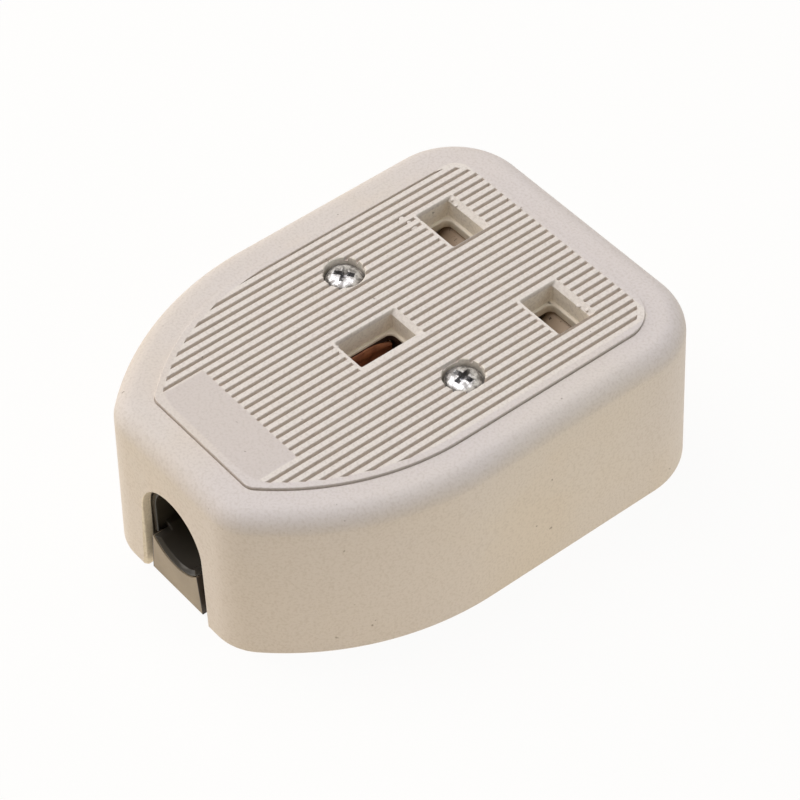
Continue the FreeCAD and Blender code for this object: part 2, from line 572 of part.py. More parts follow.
# A screw with its head's underside at the origin and its thread down -Z: a bevelled head with a cross for
# the case, a plain slotted one for the clamp
def make_screw(label, head, height, thread, reach, crossed):
    body = new_body(label)
    crown = pad(body, circle(new_sketch(body), f"{head} / 2"), height)
    if crossed:
        rim = edge_names(crown, lambda box, edge: level_at(box, number[height]))
        dress(body, "Chamfer", crown, rim, "Size", "head_edge")
    pad(body, circle(new_sketch(body), f"{thread} / 2"), reach, against=True)
    arms = (("recess_length", "recess_width"), ("recess_width", "recess_length"))
    slot = ((f"{head} + 2 * slot_overrun", "recess_width"),)
    for width, depth in arms if crossed else slot:
        arm = new_sketch(body, at=("0", "0", height))
        pocket(body, rectangle(arm, width, depth), "recess_depth")
    return body


def place(thing, x, y, z):
    for axis, formula in zip("xyz", (x, y, z)):
        bind(thing, f"Placement.Base.{axis}", formula)
    return thing


def group(label, members):
    compound = doc.addObject("Part::Compound", label)
    compound.Links = members
    return compound


def make_case_screws():
    reach = f"{ceiling} - base_recess - nut_depth"
    screws = []
    for side in (-1, 1):
        screw = make_screw("case_screw", "case_screw_head", "case_head_height", "case_thread", reach, True)
        screws.append(place(screw, f"{side} * {screwX}", screwRow, ceiling))
    return group("case_screws", screws)


def make_case_nuts():
    nuts = []
    for side in (-1, 1):
        body = new_body("case_nut")
        hexagon = body.newObject("PartDesign::AdditivePrism", "hexagon")
        hexagon.AttachmentSupport = (origin_plane(body, "XY_Plane"), [""])
        hexagon.MapMode = "FlatFace"
        bind(hexagon, "Circumradius", "case_nut_width / 3 ^ 0.5")
        bind(hexagon, "Height", "case_nut_height")
        pocket(body, circle(new_sketch(body), "case_thread / 2 + thread_fit"), along=True)
        nuts.append(place(body, f"{side} * {screwX}", screwRow, "base_recess + nut_depth"))
    return group("case_nuts", nuts)


def make_terminal_screws():
    screws = []
    for x, y in ((f"-{terminalX}", lineTerminalY), (terminalX, lineTerminalY), ("0", earthTerminalY)):
        body = new_body("terminal_screw")
        shank = new_sketch(body, at=("0", "0", "-terminal_proud"))
        pad(body, circle(shank, "terminal_thread / 2"), "terminal_proud + terminal_reach")
        slot = new_sketch(body, at=("0", "0", "-terminal_proud"))
        rectangle(slot, "terminal_thread + 2 * slot_overrun", "recess_width")
        pocket(body, slot, "recess_depth", along=True)
        screws.append(place(body, x, y, terminalFoot))
    return group("terminal_screws", screws)


def make_cord_grip():
    body = new_body("cord_grip")
    gripMiddle = f"{baseTop} + grip_height / 2"
    saddle = new_sketch(body, "XZ_Plane", at=("0", gripMiddle, f"{frontInside} - base_fit"))
    pad(body, rectangle(saddle, "grip_width", "grip_height"), "grip_length", against=True)
    # a collar lines the notch in the base's tongue
    collarFace = "body_length / 2 - collar_setback"
    collar = new_sketch(body, "XZ_Plane", at=("0", "entry_height", collarFace))
    circle(collar, "entry_radius - base_fit")
    pad(body, collar, "cover_wall + base_fit - collar_setback", against=True)
    gripFront = f"{frontInside} - base_fit"
    above = new_sketch(body, "XZ_Plane", at=("0", "tongue_height + entry_radius", gripFront))
    pocket(body, rectangle(above, "4 * entry_radius", "2 * entry_radius"), along=True)
    trough = new_sketch(body, "XZ_Plane", at=("0", "entry_height + grip_rise", "0"))
    cut = pocket(body, circle(trough, "grip_radius"), along=True)
    doc.recompute()
    ends = cut.Shape.BoundBox
    lips = edge_names(cut, lambda box, edge: box.YLength < 0.001 and box.XLength > 2 and box.ZLength > 1
                      and edge.Curve.TypeId == "Part::GeomCircle"
                      and abs(edge.Curve.Radius - number["grip_radius"]) < 0.001
                      and min(abs(box.YMin - ends.YMin), abs(box.YMax - ends.YMax)) < 0.01)
    dress(body, "Chamfer", cut, lips, "Size", "grip_edge")
    return body


def make_cord_clamp():
    body = new_body("cord_clamp")
    front = f"{clampRow} + clamp_length / 2"
    ears = new_sketch(body, "XZ_Plane", at=("0", "clamp_level + clamp_ear / 2", front))
    pad(body, rectangle(ears, "clamp_span + clamp_pillar", "clamp_ear"), "clamp_length", against=True)
    hump = new_sketch(body, "XZ_Plane", at=("0", "clamp_level", front))
    pad(body, circle(hump, "clamp_radius + clamp_hump"), "clamp_length", against=True)
    below = new_sketch(body, "XZ_Plane", at=("0", "clamp_level - body_height / 2", "0"))
    pocket(body, rectangle(below, "body_width", "body_height"), along=True)
    arch = new_sketch(body, "XZ_Plane", at=("0", "clamp_level", "0"))
    pocket(body, circle(arch, "clamp_radius"), along=True)
    for side in (-1, 1):
        bore = new_sketch(body, at=(f"{side} * clamp_span / 2", f"-{clampRow}", "body_height"))
        pocket(body, circle(bore, "clamp_thread / 2 + thread_clearance"))
    return body


def make_clamp_screws():
    screws = []
    for side in (-1, 1):
        screw = make_screw("clamp_screw", "clamp_head", "clamp_head_height", "clamp_thread",
                           "clamp_screw_reach + clamp_ear", False)
        screws.append(place(screw, f"{side} * clamp_span / 2", f"-{clampRow}", "clamp_level + clamp_ear"))
    return group("cord_clamp_screws", screws)


nodes = [
    make_grooved_cover(),
    make_base(),
    make_insert(),
    make_shutter(),
    make_spring(),
    make_line_contact("line_contact", -1),
    make_line_contact("neutral_contact", 1),
    make_earth_contact(),
    make_terminal("line_terminal", f"-{terminalX}", lineTerminalY),
    make_terminal("neutral_terminal", terminalX, lineTerminalY),
    make_terminal("earth_terminal", "0", earthTerminalY),
    make_terminal_screws(),
    make_case_screws(),
    make_case_nuts(),
    make_cord_grip(),
    make_cord_clamp(),
    make_clamp_screws(),
]
doc.recompute()

failed = [item.Label for item in doc.Objects if "Invalid" in item.State or "Error" in item.State]
if failed:
    raise RuntimeError(f"these objects failed: {failed}")
for node in nodes:
    if node.Shape.isNull() or not node.Shape.isValid():
        raise RuntimeError(f"{node.Label} has no valid shape")

os.makedirs("parts", exist_ok=True)
for node in nodes:
    node.Shape.exportStep(f"parts/{node.Label}.step")
    box = node.Shape.BoundBox
    reach = f"{box.XLength:.2f} by {box.YLength:.2f} by {box.ZLength:.2f} mm"
    print(f"{node.Label}: {len(node.Shape.Solids)} solids, {node.Shape.Volume:.1f} mm3, {reach}")
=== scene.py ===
import bpy
import bmesh
import math
import numpy as np
from mathutils import Matrix, Vector


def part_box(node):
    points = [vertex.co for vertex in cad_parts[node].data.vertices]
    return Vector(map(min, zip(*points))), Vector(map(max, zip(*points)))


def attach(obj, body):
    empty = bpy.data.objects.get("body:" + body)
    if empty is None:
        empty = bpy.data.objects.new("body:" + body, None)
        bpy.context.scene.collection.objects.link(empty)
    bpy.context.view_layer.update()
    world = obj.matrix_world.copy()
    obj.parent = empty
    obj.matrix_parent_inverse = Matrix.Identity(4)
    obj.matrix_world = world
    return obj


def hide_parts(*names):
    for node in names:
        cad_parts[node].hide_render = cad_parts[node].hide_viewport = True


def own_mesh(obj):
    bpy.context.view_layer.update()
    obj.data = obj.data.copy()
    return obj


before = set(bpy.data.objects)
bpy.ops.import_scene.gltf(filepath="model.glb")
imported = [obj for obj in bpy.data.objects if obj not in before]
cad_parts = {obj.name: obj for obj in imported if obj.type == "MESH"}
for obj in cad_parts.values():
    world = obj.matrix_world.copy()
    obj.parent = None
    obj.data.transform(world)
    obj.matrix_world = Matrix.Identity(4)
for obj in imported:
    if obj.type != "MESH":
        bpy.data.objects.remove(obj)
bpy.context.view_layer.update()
scene = bpy.context.scene
scene.view_settings.view_transform = "Standard"
mm = 0.001
print("frame loaded:", len(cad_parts), "solids")


# Sizes of one solid in millimetres, as lowest and highest corner
def solidBox(node):
    low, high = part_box(node)
    return low / mm, high / mm


# A mesh object from points in millimetres
def makePiece(name, points, faces):
    mesh = bpy.data.meshes.new(name)
    mesh.from_pydata([tuple(float(value) * mm for value in point) for point in points], [], faces)
    shape = bmesh.new()
    shape.from_mesh(mesh)
    bmesh.ops.recalc_face_normals(shape, faces=shape.faces)
    shape.to_mesh(mesh)
    shape.free()
    piece = bpy.data.objects.new(name, mesh)
    scene.collection.objects.link(piece)
    return piece


# A closed solid through rings with the same number of points
def loftRings(name, rings):
    count = len(rings[0])
    points = [point for ring in rings for point in ring]
    faces = [list(range(count))]
    for level in range(len(rings) - 1):
        lower, upper = level * count, (level + 1) * count
        for i in range(count):
            j = (i + 1) % count
            faces.append([lower + i, lower + j, upper + j, upper + i])
    faces.append([(len(rings) - 1) * count + i for i in range(count)])
    return makePiece(name, points, faces)


# A solid turned about a vertical line, from (radius, height) pairs that start and end on that line
def lathe(name, profile, centre, turns=48):
    x, y = centre
    points = [(x, y, profile[0][1])]
    for radius, height in profile[1:-1]:
        for i in range(turns):
            angle = 2 * math.pi * i / turns
            points.append((x + radius * math.cos(angle), y + radius * math.sin(angle), height))
    points.append((x, y, profile[-1][1]))
    bands = len(profile) - 3
    faces = []
    for i in range(turns):
        j = (i + 1) % turns
        faces.append([0, 1 + i, 1 + j])
        for level in range(bands):
            lower, upper = 1 + level * turns, 1 + (level + 1) * turns
            faces.append([lower + i, lower + j, upper + j, upper + i])
        last = 1 + bands * turns
        faces.append([last + i, last + j, len(points) - 1])
    return makePiece(name, points, faces)


# Points round a rectangle with rounded corners
def roundedRectangle(left, right, near, far, radius, steps=4):
    centres = ((right - radius, far - radius, 0), (left + radius, far - radius, 90),
               (left + radius, near + radius, 180), (right - radius, near + radius, 270))
    ring = []
    for x, y, start in centres:
        for i in range(steps + 1):
            angle = math.radians(start + 90 * i / steps)
            ring.append((x + radius * math.cos(angle), y + radius * math.sin(angle)))
    return ring


# Takes the cutter's solid out of the piece, or adds it, and removes the cutter
def carve(piece, cutter, operation="DIFFERENCE"):
    cut = piece.modifiers.new("carve", "BOOLEAN")
    cut.operation = operation
    cut.solver = "EXACT"
    cut.material_mode = "TRANSFER"  # walls left by a cutter take its finish
    cut.object = cutter
    evaluated = piece.evaluated_get(bpy.context.evaluated_depsgraph_get())
    carved = bpy.data.meshes.new_from_object(evaluated)
    piece.modifiers.clear()
    piece.data = carved
    bpy.data.objects.remove(cutter)


# One piece from several, which are removed
def joinPieces(name, pieces):
    gathered = bmesh.new()
    for piece in pieces:
        gathered.from_mesh(piece.data)
        bpy.data.objects.remove(piece)
    mesh = bpy.data.meshes.new(name)
    gathered.to_mesh(mesh)
    gathered.free()
    joined = bpy.data.objects.new(name, mesh)
    scene.collection.objects.link(joined)
    return joined


# Soft shading that keeps edges steeper than the angle
def smooth(piece, degrees=32):
    piece.data.shade_smooth()
    piece.data.set_sharp_from_angle(angle=math.radians(degrees))
    weighted = piece.modifiers.new("weighted", "WEIGHTED_NORMAL")
    weighted.keep_sharp = True


# One shader socket with Python's operators; numbers and links both work as the other side
class Wire:
    def __init__(self, tree, socket=None):
        self.tree = tree
        self.socket = socket

    def node(self, kind, settings, inputs, output=0):
        made = self.tree.nodes.new(kind)
        for name, value in settings.items():
            setattr(made, name, value)
        for key, value in inputs.items():
            if isinstance(value, Wire):
                self.tree.links.new(value.socket, made.inputs[key])
            else:
                made.inputs[key].default_value = value
        return None if output is None else Wire(self.tree, made.outputs[output])

    def math(self, operation, first, second):
        return self.node("ShaderNodeMath", {"operation": operation}, {0: first, 1: second})

    def __add__(self, other):
        return self.math("ADD", self, other)

    def __radd__(self, other):
        return self.math("ADD", other, self)

    def __sub__(self, other):
        return self.math("SUBTRACT", self, other)

    def __rsub__(self, other):
        return self.math("SUBTRACT", other, self)

    def __mul__(self, other):
        return self.math("MULTIPLY", self, other)

    def __rmul__(self, other):
        return self.math("MULTIPLY", other, self)

    def size(self):
        return self.math("ABSOLUTE", self, 0)

    def clamp(self, low, high):
        return self.math("MINIMUM", self.math("MAXIMUM", self, low), high)

    def axes(self):
        across = self.node("ShaderNodeSeparateXYZ", {}, {0: self})
        return [Wire(self.tree, output) for output in across.socket.node.outputs]

    def mix(self, first, second):
        return self.node("ShaderNodeMix", {"data_type": "RGBA"}, {0: self, 6: first, 7: second}, 2)

    def noise(self, scale, detail=3.0):
        return self.node("ShaderNodeTexNoise", {}, {"Vector": self, "Scale": scale, "Detail": detail})

    def steps(self, low, high):
        return self.node("ShaderNodeMapRange", {"interpolation_type": "SMOOTHSTEP"},
                         {"Value": self, "From Min": low, "From Max": high})

    def bump(self, strength, distance):
        return self.node("ShaderNodeBump", {}, {"Height": self, "Strength": strength, "Distance": distance})


# A colour as it looks on screen, 0 to 255, turned into Blender's linear values
def screen(red, green, blue):
    linear = []
    for value in (red, green, blue):
        share = value / 255
        linear.append(share / 12.92 if share <= 0.04045 else ((share + 0.055) / 1.055) ** 2.4)
    return (*linear, 1.0)


# A new Principled material with its object coordinates
def newFinish(name, look, shine=0.5, metallic=0.0):
    material = bpy.data.materials.new(name)
    material.use_nodes = True
    shader = next(node for node in material.node_tree.nodes if node.type == "BSDF_PRINCIPLED")
    shader.inputs["Roughness"].default_value = look["roughness"]
    shader.inputs["Specular IOR Level"].default_value = shine
    shader.inputs["Metallic"].default_value = metallic
    place = Wire(material.node_tree).node("ShaderNodeTexCoord", {}, {}, "Object")
    return material, shader, place


def feed(material, shader, name, wire):
    material.node_tree.links.new(wire.socket, shader.inputs[name])


# The moulded cover: an outline like a shield, drawn in ring by ring
coverLow, coverHigh = solidBox("rubber_cover")
coverShape = {
    "sideArcRadius": 43.1, "sideArcSetback": 4.4, "farCorner": 12.0, "frontCorner": 8.1,
    "draft": 1.25, "shoulder": 3.0, "rimRound": 0.22,
    "faceInset": 6.2, "faceStep": 0.4, "stepRound": 0.12, "stepFoot": 0.05,
    "creaseDepth": 0.35, "creaseWidth": 0.12, "seamFacing": (0.6, -0.8), "seamLeast": 0.15,
    "seamBands": (3, 9), "topWall": 3.4, "wall": 2.8, "lip": 1.6, "ledge": 3.3,
    "turn": 2.5, "stride": 3.0,
}
ribs = {
    "pitch": 1.38, "count": 30, "shift": -0.42, "width": 0.46, "depth": 0.62, "margin": 1.0,
    "panelHalf": 10.2, "panelTop": -22.85, "land": 0.55, "farLand": 0.85, "flare": 0.10,
    "fieldRound": 3.0, "fade": 0.2,
}
rubberLook = {
    "base": (223, 214, 206), "warm": (223, 212, 200), "cool": (220, 212, 209), "speck": (128, 112, 96),
    # The ribs' top tone is a painted highlight
    "ribHighlight": (236, 228, 218), "panel": (212, 202, 195), "grain": (190, 178, 166),
    # The groove tone is painted shade, for the grooves and the seam
    # The mouth tone is painted light, for the walls and lips inside the openings
    "groove": (219, 209, 199), "mouth": (248, 239, 224),
    "coolShare": 0.7, "fieldShare": 0.8, "grainShare": 0.3, "speckShare": 0.6,
    "mottleScale": 60, "grainScale": 2600, "speckScale": 900, "speckLevel": 0.78,
    "roughness": 0.6, "shine": 0.35, "bump": 0.2, "bumpHeight": 0.2,
}


# Where the ribs are, 1 inside their field and 0 outside, and the same for the bare panel
def ribMasks(place, shape, field):
    sideways, along, _ = place.axes()
    across = sideways.size()
    reach = across + (shape["sideArcRadius"] - coverHigh.x) * mm
    drop = along + shape["sideArcSetback"] * mm
    drop = drop.math("MINIMUM", drop, 0)
    span = reach.math("SQRT", reach * reach + drop * drop, 0)
    fromSide = shape["sideArcRadius"] * mm - span
    fromEnd = coverHigh.y * mm - along.size()
    inset = fromSide.node("ShaderNodeMath", {"operation": "SMOOTH_MIN"},
                          {0: fromSide, 1: fromEnd, 2: field["fieldRound"] * mm})
    fade = field["fade"]
    edge, panelTop, panelHalf = shape["faceInset"] + field["margin"], field["panelTop"], field["panelHalf"]
    inside = inset.steps((edge - fade) * mm, (edge + fade) * mm)
    beyond = along.steps((panelTop - fade) * mm, (panelTop + fade) * mm)
    beside = across.steps((panelHalf - fade) * mm, (panelHalf + fade) * mm)
    clear = (beyond + beside).clamp(0, 1)
    return inside * clear, inside * (1 - clear)


# The cover's rubber: mottled and grained, with a painted highlight on the ribs' tops, or with a tint of its
# own that paints shade in the grooves and the seam, or light on the walls inside the openings
def makeRubber(name, look, tint=None):
    material, shader, place = newFinish(name, look, look["shine"])
    broad = place.noise(look["mottleScale"]).steps(0.38, 0.66)
    wide = place.noise(look["mottleScale"] * 0.35, 2.0).steps(0.4, 0.62)
    tone = broad.mix(screen(*look["base"]), screen(*look["warm"]))
    tone = (wide * look["coolShare"]).mix(tone, screen(*look["cool"]))
    if tint is None:
        ribHighlight, panel = ribMasks(place, coverShape, ribs)
        # Painted highlight: the ribs' tops are painted paler than the rest, for the light they catch
        tone = (ribHighlight * look["fieldShare"]).mix(tone, screen(*look["ribHighlight"]))
        tone = (panel * look["fieldShare"]).mix(tone, screen(*look["panel"]))
    else:
        # The tint is painted shade or painted light over the whole surface
        tone = (broad * 0.1 + 0.85).mix(tone, screen(*tint))
    grain = place.noise(look["grainScale"], 4.0)
    tone = (grain.steps(0.42, 0.7) * look["grainShare"]).mix(tone, screen(*look["grain"]))
    specks = place.noise(look["speckScale"], 1.0).steps(look["speckLevel"], look["speckLevel"] + 0.04)
    feed(material, shader, "Base Color", (specks * look["speckShare"]).mix(tone, screen(*look["speck"])))
    feed(material, shader, "Roughness", (grain * 0.16 + (look["roughness"] - 0.08)).clamp(0, 1))
    feed(material, shader, "Normal", (grain + broad * 0.6).bump(look["bump"], look["bumpHeight"] * mm))
    return material


plasticLooks = {
    # The darkest tone of the base and insert is painted shade, laid where a mask marks a shadowed place
    "base": {"tone": (160, 145, 124), "cloud": (148, 133, 112), "paintedShade": (50, 40, 32), "dirt": 0.0,
             "roughness": 0.48, "grainScale": 1800, "shine": 0.5},
    "insert": {"tone": (226, 216, 198), "cloud": (216, 204, 184), "paintedShade": (50, 40, 32), "dirt": 0.0,
               "roughness": 0.42, "grainScale": 1800, "shine": 0.5},
    "shutter": {"tone": (172, 150, 126), "cloud": (154, 130, 106), "dirt": 0.8,
                "roughness": 0.45, "grainScale": 1800, "shine": 0.5},
    "grip": {"tone": (64, 60, 54), "cloud": (56, 52, 47), "dirt": 0.0,
             "roughness": 0.2, "grainScale": 900, "shine": 0.2},
}
plasticWear = {"cloudScale": 160, "spot": (58, 44, 34), "spotScale": 1300, "bump": 0.08, "bumpHeight": 0.1}
tongue = {"foot": 5.65, "taper": 0.0915, "border": 0.07, "back": -34.9, "fade": 0.04, "backFade": 0.1}
earthWay = {"half": 2.8, "near": -6.4, "far": 3.4, "level": 22.45, "fade": 0.08}


# Painted shade on the sides of the base's tongue, where the gap to the cover lies in shadow
def tongueSideShade(place):
    sideways, along, up = place.axes()
    across = sideways.size() + up * tongue["taper"]
    edge, back = tongue["foot"] - tongue["border"], -tongue["back"]
    beside = across.steps((edge - tongue["fade"]) * mm, (edge + tongue["fade"]) * mm)
    ahead = (0 - along).steps((back - tongue["backFade"]) * mm, (back + tongue["backFade"]) * mm)
    return beside * ahead


# Painted shade in the insert's earth way below its edge, where the deep slot lies in shadow
def earthWayShade(place):
    sideways, along, up = place.axes()
    half, level, fade = earthWay["half"], earthWay["level"], earthWay["fade"]
    middle = (earthWay["near"] + earthWay["far"]) / 2
    reach = (earthWay["far"] - earthWay["near"]) / 2
    below = (0 - up).steps((-level - fade) * mm, (fade - level) * mm)
    inside = (0 - sideways.size()).steps(-half * mm, (fade - half) * mm)
    within = (0 - (along - middle * mm).size()).steps(-reach * mm, (fade - reach) * mm)
    return below * inside * within


# A moulded plastic: one tone, faint clouds, painted shade where a mask is given, spots of dirt and a fine
# texture
def makePlastic(name, look, shadeMask=None):
    material, shader, place = newFinish(name, look, look["shine"])
    clouds = place.noise(plasticWear["cloudScale"]).steps(0.36, 0.68)
    tone = clouds.mix(screen(*look["tone"]), screen(*look["cloud"]))
    # Painted shade where the mask marks a shadowed place
    if shadeMask is not None:
        tone = shadeMask(place).mix(tone, screen(*look["paintedShade"]))
    spots = place.noise(plasticWear["spotScale"], 2.0).steps(0.62, 0.70)
    feed(material, shader, "Base Color", (spots * look["dirt"]).mix(tone, screen(*plasticWear["spot"])))
    grain = place.noise(look["grainScale"], 3.0)
    feed(material, shader, "Roughness", (grain * 0.2 + (look["roughness"] - 0.1)).clamp(0, 1))
    feed(material, shader, "Normal", grain.bump(plasticWear["bump"], plasticWear["bumpHeight"] * mm))
    return material


metalLooks = {
    "brass": {"tone": (176, 116, 82), "tarnish": (140, 88, 62), "metallic": 0.25,
              "roughness": 0.46, "scale": 420, "dents": 0.06},
    "zinc": {"tone": (190, 190, 193), "tarnish": (122, 120, 120), "metallic": 1.0,
             "roughness": 0.24, "scale": 1500, "dents": 0.25},
    "spring": {"tone": (180, 180, 182), "tarnish": (140, 140, 142), "metallic": 1.0,
               "roughness": 0.3, "scale": 900, "dents": 0.06},
}
dentHeight = 0.2


# A metal with two tones that change place to place, as tarnish or plating does
def makeMetal(name, look):
    material, shader, place = newFinish(name, look, metallic=look["metallic"])
    patches = place.noise(look["scale"], 4.0).steps(0.4, 0.62)
    feed(material, shader, "Base Color", patches.mix(screen(*look["tone"]), screen(*look["tarnish"])))
    grain = place.noise(look["scale"] * 9, 2.0)
    rough = grain * 0.22 + patches * 0.1 + (look["roughness"] - 0.12)
    feed(material, shader, "Roughness", rough.clamp(0, 1))
    dents = place.noise(look["scale"] * 2, 2.0) + grain * 0.3
    feed(material, shader, "Normal", dents.bump(look["dents"], dentHeight * mm))
    return material


coverRubber = makeRubber("coverRubber", rubberLook)
grooveShadeRubber = makeRubber("grooveShadeRubber", rubberLook, rubberLook["groove"])  # painted shade in the grooves
mouthLitRubber = makeRubber("mouthLitRubber", rubberLook, rubberLook["mouth"])  # painted light on the walls inside the openings
# The base's tongue gets painted shade on its sides
basePlastic = makePlastic("basePlastic", plasticLooks["base"], tongueSideShade)
# The insert's earth way gets painted shade below its edge
insertPlastic = makePlastic("insertPlastic", plasticLooks["insert"], earthWayShade)
shutterPlastic = makePlastic("shutterPlastic", plasticLooks["shutter"])
gripPlastic = makePlastic("gripPlastic", plasticLooks["grip"])
contactBrass = makeMetal("contactBrass", metalLooks["brass"])
zincSteel = makeMetal("zincSteel", metalLooks["zinc"])
springSteel = makeMetal("springSteel", metalLooks["spring"])
print("finishes made")


# Points and outward directions round the rim, in one turn from the right side
def shieldOutline(shape):
    half, far = coverHigh.x, coverHigh.y
    farRound, frontRound, sideRound = shape["farCorner"], shape["frontCorner"], shape["sideArcRadius"]
    sideX, sideY = half - sideRound, -shape["sideArcSetback"]
    frontX = sideX + math.sqrt((sideRound - frontRound) ** 2 - (far - frontRound + sideY) ** 2)
    swing = math.degrees(math.atan2(far - frontRound + sideY, frontX - sideX))
    arcs = [
        ((half - farRound, far - farRound), farRound, 0, 90),
        ((farRound - half, far - farRound), farRound, 90, 180),
        ((-sideX, sideY), sideRound, 180, 180 + swing),
        ((-frontX, frontRound - far), frontRound, 180 + swing, 270),
        ((frontX, frontRound - far), frontRound, 270, 360 - swing),
        ((sideX, sideY), sideRound, 360 - swing, 360),
    ]
    places, normals = [], []
    for index, (centre, radius, start, end) in enumerate(arcs):
        turn = shape["turn"] / 2 if radius == sideRound else shape["turn"]
        angles = np.radians(np.linspace(start, end, round((end - start) / turn) + 1))
        outward = np.column_stack((np.cos(angles), np.sin(angles)))
        places.extend(np.array(centre) + radius * outward)
        normals.extend(outward)
        nextCentre, nextRadius, nextStart, _ = arcs[(index + 1) % len(arcs)]
        nextAngle = math.radians(nextStart)
        corner = np.array(nextCentre) + nextRadius * np.array((math.cos(nextAngle), math.sin(nextAngle)))
        last = places[-1]
        strides = round(np.linalg.norm(corner - last) / shape["stride"])
        if strides == 0:  # the next arc starts on this point
            places.pop()
            normals.pop()
        for stride in range(1, strides):
            places.append(last + (corner - last) * stride / strides)
            normals.append(outward[-1])
    return np.array(places), np.array(normals)


# Inset and height of each ring: across the raised face, over the shoulder, down the wall and up inside
def coverProfile(shape, seam):
    top = coverHigh.z
    frameTop = top - shape["faceStep"]
    stepRound, rimRound, inset = shape["stepRound"], shape["rimRound"], shape["faceInset"]
    profile = []
    for angle in np.radians((90, 60, 30, 0)):
        profile.append((inset + stepRound - stepRound * math.cos(angle),
                        top - stepRound + stepRound * math.sin(angle)))
    profile.append((inset, frameTop + shape["stepFoot"]))
    crease, gap = shape["creaseDepth"], shape["creaseWidth"]
    for out, down in ((0, 0.7), (0.3, 1), (0.7, 1), (1, 0.4), (1.4, 0)):
        profile.append((inset - gap * out * seam, frameTop - crease * down * seam))
    draft = math.radians(shape["draft"])
    bend = shape["shoulder"]
    bendZ = frameTop - bend
    bendInset = bendZ * math.tan(draft) + bend / math.cos(draft)
    profile.append(((inset + bendInset) / 2, frameTop))
    for angle in np.linspace(math.pi / 2, draft, 13):
        profile.append((bendInset - bend * math.cos(angle), bendZ + bend * math.sin(angle)))
    for height in np.linspace(bendZ, rimRound, 9)[1:]:
        profile.append((height * math.tan(draft), height))
    for angle in np.radians((30, 60, 90)):
        profile.append((rimRound - rimRound * math.cos(angle), rimRound - rimRound * math.sin(angle)))
    profile += [(shape["lip"] - rimRound, 0.0), (shape["lip"], rimRound)]
    profile += [(shape["lip"], shape["ledge"]), (shape["wall"], shape["ledge"])]
    profile.append((shape["wall"], top - shape["topWall"]))
    return profile


# The outline drawn in by an inset, at a height; both may change round the ring
def ringAt(outline, inset, height):
    places, normals = outline
    count = len(places)
    flat = places - np.broadcast_to(inset, count)[:, None] * normals
    return [(x, y, z) for (x, y), z in zip(flat, np.broadcast_to(height, count))]


def makeCoverShell(outline):
    # The raised face's seam gapes at the front and right
    seam = 2 * outline[1] @ np.array(coverShape["seamFacing"])
    seam = np.clip(seam, coverShape["seamLeast"], 1)
    rings = [ringAt(outline, inset, height) for inset, height in coverProfile(coverShape, seam)]
    shell = loftRings("cover", rings)
    shell.data.materials.append(coverRubber)
    shell.data.materials.append(grooveShadeRubber)
    # Painted shade: where the seam gapes, its bands take the darker groove finish
    for band in range(*coverShape["seamBands"]):
        for i in np.flatnonzero(seam > 0.5):
            shell.data.polygons[1 + band * len(seam) + i].material_index = 1  # painted shade in the seam
    return shell


coverOutline = shieldOutline(coverShape)
coverPiece = makeCoverShell(coverOutline)
print("cover shell:", len(coverPiece.data.polygons), "faces")


# Pin holes, screw bores and the cable arch, each with a softened mouth
holes = {
    "lineX": 11.115, "lineY": 20.83, "lineWidth": 8.15, "lineDepth": 5.77,
    "earthY": -1.4, "earthWidth": 5.77, "earthDepth": 9.72,
    "corner": 0.3, "lip": 0.12, "lipDepth": 0.2, "farLip": 0.8, "farDepth": 0.7,
    "bore": 2.95, "boreLip": 0.18,
    "archRadius": 6.5, "archHeight": 12.0, "archSplay": 0.4, "archLip": 0.26,
    "archLean": 0.26, "archWall": 1.7, "archRelief": 1.2, "archDepth": 3.2,
    "past": 1.0,
}
pinHoles = [
    (-holes["lineX"], holes["lineY"], holes["lineWidth"], holes["lineDepth"]),
    (holes["lineX"], holes["lineY"], holes["lineWidth"], holes["lineDepth"]),
    (0.0, holes["earthY"], holes["earthWidth"], holes["earthDepth"]),
]
ceiling = coverHigh.z - coverShape["topWall"]


# Gives a cutter's walls its second finish, a paler rubber that paints light on them: all its faces, or only
# the first ones
def litWalls(cutter, count=None):
    for polygon in list(cutter.data.polygons)[:count]:
        polygon.material_index = 1
    return cutter


def pinHoleCutter(x, y, width, depth):
    top = coverHigh.z
    lipDepth, farDepth = holes["lipDepth"], holes["farDepth"]
    deepest = max(lipDepth, farDepth)
    levels = (ceiling - holes["past"], top - deepest, top - deepest * 0.5, top - lipDepth, top - lipDepth / 2,
              top, top + 0.3)
    rings = []
    for level in levels:
        side = holes["lip"] * max(0, 1 - (top - level) / lipDepth)
        farSide = holes["farLip"] * max(0, 1 - (top - level) / farDepth)
        ring = roundedRectangle(x - width / 2 - side, x + width / 2 + side,
                                y - depth / 2 - side, y + depth / 2 + farSide, holes["corner"])
        rings.append([(px, py, level) for px, py in ring])
    return litWalls(loftRings("pinHole", rings), 1 + len(rings[0]))


def boreCutter(x, y):
    top, lip = coverHigh.z, holes["boreLip"]
    levels = ((ceiling - holes["past"], 0), (top - lip, 0), (top - lip / 2, lip * 0.2), (top, lip),
              (top + lip, 3 * lip))
    angles = np.radians(np.arange(0, 360, 6))
    rings = []
    for level, grow in levels:
        radius = holes["bore"] + grow
        rings.append([(x + radius * math.cos(angle), y + radius * math.sin(angle), level)
                      for angle in angles])
    return litWalls(loftRings("bore", rings))


